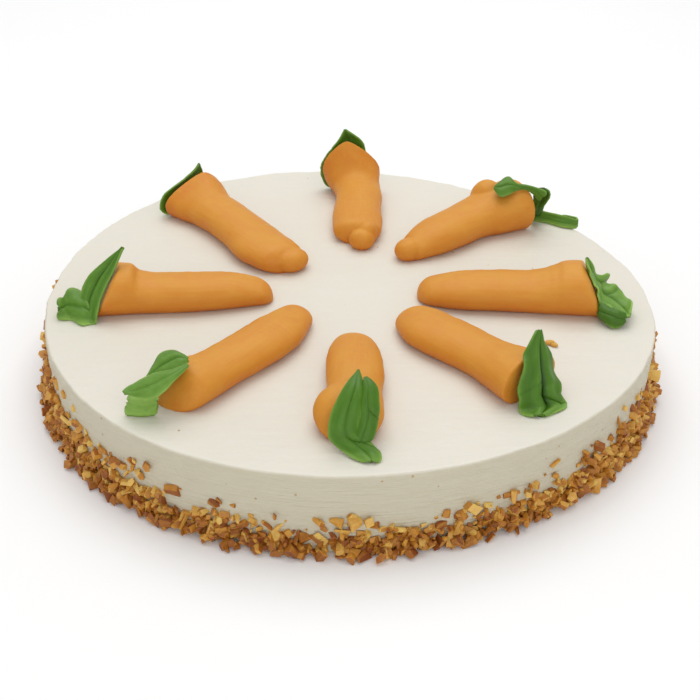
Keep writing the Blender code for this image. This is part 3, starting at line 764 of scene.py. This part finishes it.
def build_carrot(name, carrot, seed, material):
    bm = bmesh.new()
    add_rope(bm, carrot)
    for middle, halves in carrot["lumps"]:
        add_lump(bm, middle, halves)
    obj = make_object(f"piped_carrot_{name}", smooth_mesh(bm, name), material)
    skin = obj.modifiers.new("skin", "REMESH")
    skin.mode = "VOXEL"
    skin.voxel_size = ROPE_VOXEL
    soften = obj.modifiers.new("soften", "SMOOTH")
    soften.factor = 0.5
    soften.iterations = ROPE_SMOOTHING
    settle_modifiers(obj)

    bm = bmesh.new()
    bm.from_mesh(obj.data)
    bm.normal_update()
    piped = bm.verts.layers.float_vector.new("piped")
    depth = bm.verts.layers.float.new("depth")
    for vert in bm.verts:
        vert[piped] = vert.co.copy()
        flare = flare_at(vert.co.x)
        # Painted light and shade: faces that look up and higher icing lighter, the flared heads darker
        lit = 0.5 + 0.22 * vert.normal.z + 0.012 * (vert.co.z / MM - 8) - HEAD_PAINTED_SHADE * carrot["peak"] * flare
        vert[depth] = min(max(lit, 0.0), 1.0)
        vert.co += vert.normal * piping_marks(vert.co, seed) * min(1, max(vert.co.z, 0) / (2 * MM))
    sunk = Matrix.Translation((0, 0, -ROPE_SINK)) @ carrot_frame(carrot)
    bmesh.ops.transform(bm, matrix=sunk, verts=bm.verts)
    obj.data = smooth_mesh(bm, obj.name)
    obj.data.materials.append(material)
    return hand_in(obj, f"carrot_{name}")


def blade_point(blade, along, across):
    """A point of the flat blade in mm: along from foot to tip, across from -1 at its right edge to 1."""
    left, right = (smooth_path(blade[edge], along) for edge in ("left", "right"))
    return (left + right) / 2 + (left - right) / 2 * across


def blade_span(blade, along):
    """From the blade's right edge to its left one."""
    return blade_point(blade, along, 1) - blade_point(blade, along, -1)


def blade_normal(blade, along):
    """Which way the outer face of the blade looks."""
    step = 0.03
    forward = blade_point(blade, min(along + step, 1), 0) - blade_point(blade, max(along - step, 0), 0)
    sideways = blade_span(blade, along)
    if sideways.length < 1:
        sideways = blade_span(blade, max(along - 0.15, 0))
    return sideways.cross(forward).normalized()


def hump(distance, width):
    """A soft hump, 1 in its middle."""
    return math.exp(-((distance / width) ** 2))


def blade_relief(blade, along, across, seed):
    """How far the blade's surface stands out in mm, and how much of that is its groove and creases."""
    height, waves = blade["ruffle"]
    depth, centre = blade["fold"]
    shift = RUFFLE_SHIFT if across < 0 else 0
    settle = min(1, blade_span(blade, along).length / 10)
    bow = blade["bow"] * (1 - across**2)
    wave = height * math.sin(2 * math.pi * waves * along + shift) * across**2
    aside = across - centre - 0.12 * ripple(along * 2.5, 0, seed, 10)
    groove = -depth * hump(aside, 0.13) + 0.4 * depth * hump(abs(aside) - 0.36, 0.2)
    for place, deep, side in blade.get("creases", ()):
        behind = along - place + 0.14 * aside * side - 0.04 * ripple(across * 3, place * 9, seed, 15)
        deep *= 0.5 + 0.5 * math.tanh(5 * aside * side)
        groove -= deep * hump(behind, 0.03)
        bow += 0.6 * deep * hump(behind - 0.07, 0.05)
    soft = 0.45 * ripple(along * 3.2, across * 1.1, seed, 11) + 0.1 * ripple(along * 12, across * 4, seed, 12)
    return (bow + wave + groove + soft) * settle, groove * settle


def lies_inside(point, solid):
    """Whether a ray straight up from the point leaves the solid more often than it enters it."""
    up = Vector((0, 0, 1))
    crossings = 0
    hit = solid.ray_cast(point, up)[0]
    while hit:
        crossings += 1
        hit = solid.ray_cast(hit + up * RAY_STEP, up)[0]
    return crossings % 2 == 1


def push_clear(point, solid, margin):
    """The point, moved out of the carrot and up off the cream where it is nearer than the margin."""
    lowest = CAKE_HEIGHT + LEAF_THICKNESS * 0.35
    for _ in range(2):
        near, _, _, distance = solid.find_nearest(point)
        if lies_inside(point, solid):
            point = near + (near - point).normalized() * margin
        elif distance < margin:
            point = near + (point - near).normalized() * margin
        point = Vector((point.x, point.y, max(point.z, lowest)))
    return point


def add_blade(bm, blade, frame_of_rope, solid, seed):
    piped = bm.verts.layers.float_vector["piped"]
    depth = bm.verts.layers.float["depth"]
    deform = bm.verts.layers.deform.verify()
    margin = LEAF_CLEARANCE + LEAF_THICKNESS / 2
    grid = []
    for i in range(LEAF_STEPS + 1):
        along = i / LEAF_STEPS
        normal = blade_normal(blade, along)
        ending = min(along, 1 - along) / LEAF_END_SHARE
        rounding = 1 if ending > 1 else 0.6 + 0.4 * math.sqrt(1 - (1 - ending) ** 2)
        row = []
        for j in range(LEAF_STRIPS + 1):
            across = 2 * j / LEAF_STRIPS - 1
            torn = 1 + 0.04 * ripple(along * 9, across, seed, 13)
            torn += 0.02 * ripple(along * 30, across, seed, 14)
            reach = rounding * across * torn
            relief, groove = blade_relief(blade, along, across, seed)
            point = blade_point(blade, along, reach) + normal * relief
            vert = bm.verts.new(push_clear(frame_of_rope @ (point * MM), solid, margin))
            vert[piped] = Vector((LEAF_GRAIN[0] * along, LEAF_GRAIN[1] * across, 0))
            edge = abs(across) ** 6
            pale_foot = 0.35 * max(0.0, 1 - point.z / 2.5)
            # Painted shade: darker in the groove and creases; paler at the edges and the foot; plus the
            # blade's shade
            vert[depth] = min(max(0.46 + blade["shade"] + 0.25 * groove + 0.3 * edge + pale_foot, 0), 1)
            vert[deform][0] = 1 - abs(across) ** 4
            row.append(vert)
        grid.append(row)
    join_rows(bm, grid, closed=False)


def build_leaf(name, leaf, carrot, carrot_object, seed, material):
    bm_carrot = bmesh.new()
    bm_carrot.from_mesh(carrot_object.data)
    solid = BVHTree.FromBMesh(bm_carrot)
    bm_carrot.free()
    bm = bmesh.new()
    bm.verts.layers.float_vector.new("piped")
    bm.verts.layers.float.new("depth")
    for k, blade in enumerate(leaf):
        add_blade(bm, blade, carrot_frame(carrot), solid, seed + 0.37 * k)
    obj = make_object(f"piped_leaf_{name}", plain_mesh(bm, name), material)
    obj.vertex_groups.new(name="thick")
    solidify = obj.modifiers.new("thickness", "SOLIDIFY")
    solidify.thickness = LEAF_THICKNESS
    solidify.offset = 0
    solidify.vertex_group = "thick"
    solidify.thickness_vertex_group = LEAF_EDGE_SHARE
    settle_modifiers(obj)
    obj.data.shade_smooth()
    hand_in(obj, f"leaf_{name}")


def chip_band(angle):
    """How high the small chips reach: half the side in front, and nearly the top at the left and right."""
    return CHIP_BAND_FRONT + (CHIP_BAND_SIDES - CHIP_BAND_FRONT) * math.cos(angle) ** 2


def nut_band(angle):
    """How high the nuts reach: higher at the left and right than in front and behind."""
    share = abs(math.cos(angle)) ** 3
    return NUT_BAND_FRONT + (NUT_BAND_SIDES - NUT_BAND_FRONT) * share


def nut_places():
    """Where each big chip sits, how it is turned and its sizes: even round the cake, denser at the foot."""
    draw = random.Random(BIG_CHIP_SEED)
    golden = (math.sqrt(5) - 1) / 2
    for k in range(BIG_CHIPS):
        angle = 2 * math.pi * ((k * golden) % 1) + draw.uniform(-0.01, 0.01)
        climb = draw.random() ** 1.5
        size = draw.uniform(*BIG_CHIP_SIZE)
        turn = Euler([draw.uniform(0, 2 * math.pi) for _ in range(3)])
        stretch = Vector((1, draw.uniform(0.6, 0.95), draw.uniform(0.9, 1.7)))
        height = max(NUT_FOOT, size * 1.25) + climb * (nut_band(angle) - NUT_FOOT)
        radius = cake_radius(angle) + size * draw.uniform(0.0, 0.35)
        yield Vector((*on_circle(angle, radius), height)), turn, stretch * size, draw


def chip_bmesh():
    """An empty mesh whose faces can say how much skin they show and how toasted they are."""
    bm = bmesh.new()
    bm.faces.layers.float.new("skin")
    bm.faces.layers.float.new("tone")
    return bm


def chip_points(sides, taper, draw):
    """The corners of one chip of about unit size: a tapered prism with cut, uneven corners."""
    bm = bmesh.new()
    bmesh.ops.create_cone(bm, cap_ends=True, segments=sides, radius1=1, radius2=taper, depth=1.5)
    points = [vert.co * draw.uniform(0.82, 1.15) for vert in bm.verts]
    bm.free()
    return points


def add_chip(bm, points, bevel, draw):
    """A closed chip through those corners, its edges a little worn, with some of its faces skin."""
    part = bmesh.new()
    bmesh.ops.convex_hull(part, input=[part.verts.new(point) for point in points])
    bmesh.ops.dissolve_limit(part, angle_limit=0.15, verts=part.verts, edges=part.edges)
    bmesh.ops.bevel(part, geom=part.edges, offset=bevel, segments=1, affect="EDGES", clamp_overlap=True)
    bmesh.ops.recalc_face_normals(part, faces=part.faces)
    skin_way = Vector([draw.uniform(-1, 1) for _ in range(3)]).normalized()
    tone = draw.random()
    skin = bm.faces.layers.float["skin"]
    toast = bm.faces.layers.float["tone"]
    copies = {vert: bm.verts.new(vert.co) for vert in part.verts}
    part.normal_update()
    for face in part.faces:
        made = bm.faces.new([copies[vert] for vert in face.verts])
        made[skin] = 1.0 if face.normal.dot(skin_way) > SKIN_TURN else 0.12 * draw.random()
        made[toast] = tone
    part.free()


def build_big_chips(material):
    bm = chip_bmesh()
    own = random.Random(CHIP_SEED)
    for place, turn, stretch, draw in nut_places():
        sides = draw.choice(CHIP_SIDES)
        taper = draw.uniform(0.55, 0.9)
        points = []
        for corner in chip_points(sides, taper, draw):
            corner = Vector(c * s for c, s in zip(corner, stretch))
            corner.rotate(turn)
            points.append(corner)
        lowest = min(point.z for point in points)
        place = Vector((place.x, place.y, max(place.z, FLOOR_GAP - lowest)))
        add_chip(bm, [point + place for point in points], BIG_CHIP_WEAR, own)
    chips = make_object("nut_chips_big", plain_mesh(bm, "nut_chips_big"), material)
    hand_in(chips, "cake")


def build_crumbs(material):
    """The few crumbs that have fallen on the top."""
    bm = chip_bmesh()
    tone = bm.faces.layers.float["tone"]
    for middle, halves in CRUMBS:
        add_lump(bm, middle, halves)
    for vert in bm.verts:
        vert.co *= 1 + 0.004 * ripple(*(vert.co * 900), 31)
    for face in bm.faces:
        face[tone] = CRUMB_TONE
    crumbs = make_object("crumbs", smooth_mesh(bm, "crumbs"), material)
    hand_in(crumbs, "cake")


def chip_kinds():
    """A few small chips of about 1 mm half-size, for scattering, in their own collection."""
    draw = random.Random(CHIP_SEED + 1)
    collection = bpy.data.collections.new("chip_kinds")
    for k in range(CHIP_KINDS):
        bm = chip_bmesh()
        stretch = Vector((1, draw.uniform(0.4, 0.8), draw.uniform(0.9, 1.8)))
        corners = chip_points(draw.choice(CHIP_SIDES), draw.uniform(0.4, 0.9), draw)
        points = [Vector(c * s * MM for c, s in zip(corner, stretch)) for corner in corners]
        add_chip(bm, points, CHIP_WEAR, draw)
        collection.objects.link(bpy.data.objects.new(f"chip_{k}", plain_mesh(bm, f"chip_{k}")))
    return collection


def scatter_surface(name, low, reach, heap):
    """A band round the cake for chips to sit on: cover says how densely, heap how far out they may stand."""
    bm = bmesh.new()
    cover = bm.verts.layers.float.new("cover")
    pile = bm.verts.layers.float.new("heap")
    grid = []
    for i in range(LAYER_ROWS + 1):
        share = i / LAYER_ROWS
        row = []
        for k in range(LAYER_SPOKES):
            angle = 2 * math.pi * k / LAYER_SPOKES
            across, back = on_circle(angle)
            ragged = 1 + 0.22 * ripple(across * 9, back * 9, 0, 21)
            ragged += 0.15 * ripple(across * 30, back * 30, 0, 22)
            top = reach * chip_band(angle) * ragged
            height = low + (top - low) * i / LAYER_ROWS
            patch = 0.75 + 0.5 * ripple(across * 14, back * 14, height / MM * 0.12, 23)
            vert = bm.verts.new((*on_circle(angle, cake_radius(angle)), height))
            vert[cover] = max(0.0, patch * (1 - share) ** 0.7)
            vert[pile] = heap * (1 - share)
            row.append(vert)
        grid.append(row)
    join_rows(bm, grid)
    return make_object(name, plain_mesh(bm, name))


def scatter_tree(chips, material):
    """Nodes that scatter chips over a band. Its density, the chips' sizes and a seed are the inputs."""
    tree = bpy.data.node_groups.new("scatter_chips", "GeometryNodeTree")
    sockets = tree.interface
    sockets.new_socket("Geometry", in_out="INPUT", socket_type="NodeSocketGeometry")
    for label in ("Density", "Smallest", "Largest"):
        sockets.new_socket(label, in_out="INPUT", socket_type="NodeSocketFloat")
    sockets.new_socket("Seed", in_out="INPUT", socket_type="NodeSocketInt")
    sockets.new_socket("Geometry", in_out="OUTPUT", socket_type="NodeSocketGeometry")

    def node(kind, **settings):
        made = tree.nodes.new(kind)
        for key, value in settings.items():
            setattr(made, key, value)
        return made

    def attribute(name):
        made = fill(node("GeometryNodeInputNamedAttribute", data_type="FLOAT"), {"Name": name})
        return made.outputs["Attribute"]

    def product(first, second):
        made = node("ShaderNodeMath", operation="MULTIPLY")
        join(first, made.inputs[0])
        join(second, made.inputs[1])
        return made.outputs[0]

    def stored(geometry, name, domain, value):
        made = fill(node("GeometryNodeStoreNamedAttribute", data_type="FLOAT", domain=domain), {"Name": name})
        join(geometry, made.inputs["Geometry"])
        join(value, made.inputs["Value"])
        return made.outputs["Geometry"]

    join = tree.links.new
    source = node("NodeGroupInput").outputs
    spread = node("GeometryNodeDistributePointsOnFaces")
    join(source["Geometry"], spread.inputs["Mesh"])
    join(product(source["Density"], attribute("cover")), spread.inputs["Density"])
    join(source["Seed"], spread.inputs["Seed"])

    luck = node("FunctionNodeRandomValue", data_type="FLOAT")
    join(source["Seed"], luck.inputs["Seed"])
    outwards = node("ShaderNodeVectorMath", operation="SCALE")
    join(spread.outputs["Normal"], outwards.inputs[0])
    join(product(attribute("heap"), luck.outputs["Value"]), outwards.inputs["Scale"])
    heaped = node("GeometryNodeSetPosition")
    join(spread.outputs["Points"], heaped.inputs["Geometry"])
    join(outwards.outputs["Vector"], heaped.inputs["Offset"])

    kinds = node("GeometryNodeCollectionInfo", transform_space="ORIGINAL")
    fill(kinds, {"Collection": chips, "Separate Children": True, "Reset Children": True})
    turn = fill(node("FunctionNodeRandomValue", data_type="FLOAT_VECTOR"), {"Max": (FULL_TURN,) * 3})
    size = node("FunctionNodeRandomValue", data_type="FLOAT")
    join(source["Smallest"], size.inputs["Min"])
    join(source["Largest"], size.inputs["Max"])
    place = fill(node("GeometryNodeInstanceOnPoints"), {"Pick Instance": True})
    join(heaped.outputs["Geometry"], place.inputs["Points"])
    join(kinds.outputs["Instances"], place.inputs["Instance"])
    join(turn.outputs["Value"], place.inputs["Rotation"])
    join(size.outputs["Value"], place.inputs["Scale"])

    toast = fill(node("FunctionNodeRandomValue", data_type="FLOAT"), {"Seed": TOAST_SEED})
    toned = stored(place.outputs["Instances"], "chip_tone", "INSTANCE", toast.outputs["Value"])
    real = node("GeometryNodeRealizeInstances")
    join(toned, real.inputs["Geometry"])
    toned = stored(real.outputs["Geometry"], "tone", "FACE", attribute("chip_tone"))
    paint = fill(node("GeometryNodeSetMaterial"), {"Material": material})
    join(toned, paint.inputs["Geometry"])
    join(paint.outputs["Geometry"], node("NodeGroupOutput").inputs["Geometry"])
    return tree


def scatter(band, tree, settings, material):
    """Turns the band into its chips, all of them above the floor."""
    spread = band.modifiers.new("scatter", "NODES")
    spread.node_group = tree
    for item in tree.interface.items_tree:
        if item.item_type == "SOCKET" and item.in_out == "INPUT" and item.name in settings:
            spread[item.identifier] = settings[item.name]
    settle_modifiers(band)
    band.data.materials.clear()
    band.data.materials.append(material)
    for vert in band.data.vertices:
        vert.co.z = max(vert.co.z, LOWEST_POINT)
    hand_in(band, "cake")


def build_small_chips(material):
    chips = chip_kinds()
    tree = scatter_tree(chips, material)
    for name, (low, reach, heap, density, smallest, largest, seed) in CHIP_LAYERS.items():
        settings = {"Density": density, "Smallest": smallest, "Largest": largest, "Seed": seed}
        scatter(scatter_surface(name, low, reach, heap), tree, settings, material)
    for chip in list(chips.objects):
        bpy.data.objects.remove(chip, do_unlink=True)
    bpy.data.collections.remove(chips)


def build_camera():
    lens = bpy.data.cameras.new("camera")
    lens.sensor_width = SENSOR
    lens.lens = FOCAL_PIXELS / FRAME_PIXELS * SENSOR
    camera = bpy.data.objects.new("camera", lens)
    turn = Matrix((EYE_RIGHT, EYE_UP, -Vector(EYE_FORWARD))).transposed().to_4x4()
    camera.matrix_world = Matrix.Translation(EYE) @ turn
    bpy.context.scene.collection.objects.link(camera)
    bpy.context.scene.camera = camera
    bpy.context.scene.view_settings.view_transform = "Standard"


def add_softbox(name, place, size, power):
    light = bpy.data.lights.new(name, "AREA")
    light.size = size
    light.energy = power
    lamp = bpy.data.objects.new(name, light)
    lamp.location = place
    lamp.rotation_euler = Vector(place).to_track_quat("Z", "Y").to_euler()
    bpy.context.scene.collection.objects.link(lamp)


def build_studio():
    world = bpy.data.worlds.new("studio")
    bpy.context.scene.world = world
    world.use_nodes = True
    fill(world.node_tree.nodes["Background"], {"Color": (1, 1, 1, 1), "Strength": ROOM_LIGHT})
    for name, (place, size, power) in SOFTBOXES.items():
        add_softbox(name, place, size, power)
    bm = bmesh.new()
    bmesh.ops.create_grid(bm, x_segments=8, y_segments=8, size=FLOOR_HALF)
    floor = make_object("floor", smooth_mesh(bm, "floor"), floor_finish())
    if floor.data.polygons[0].normal.z < 0:
        floor.data.flip_normals()


def main():
    nuts = nut_finish()
    orange = icing_finish("carrot_icing", CARROT_TONES, 0.5, 1.0)
    green = icing_finish("leaf_icing", LEAF_TONES, 0.42, 0.35)
    build_cream(cream_finish())
    build_base(sponge_finish())
    for seed, (name, carrot) in enumerate(CARROTS.items()):
        carrot_object = build_carrot(name, carrot, seed, orange)
        build_leaf(name, LEAVES[name], carrot, carrot_object, seed, green)
    build_big_chips(nuts)
    build_small_chips(nuts)
    build_crumbs(nuts)
    build_camera()
    build_studio()


main()
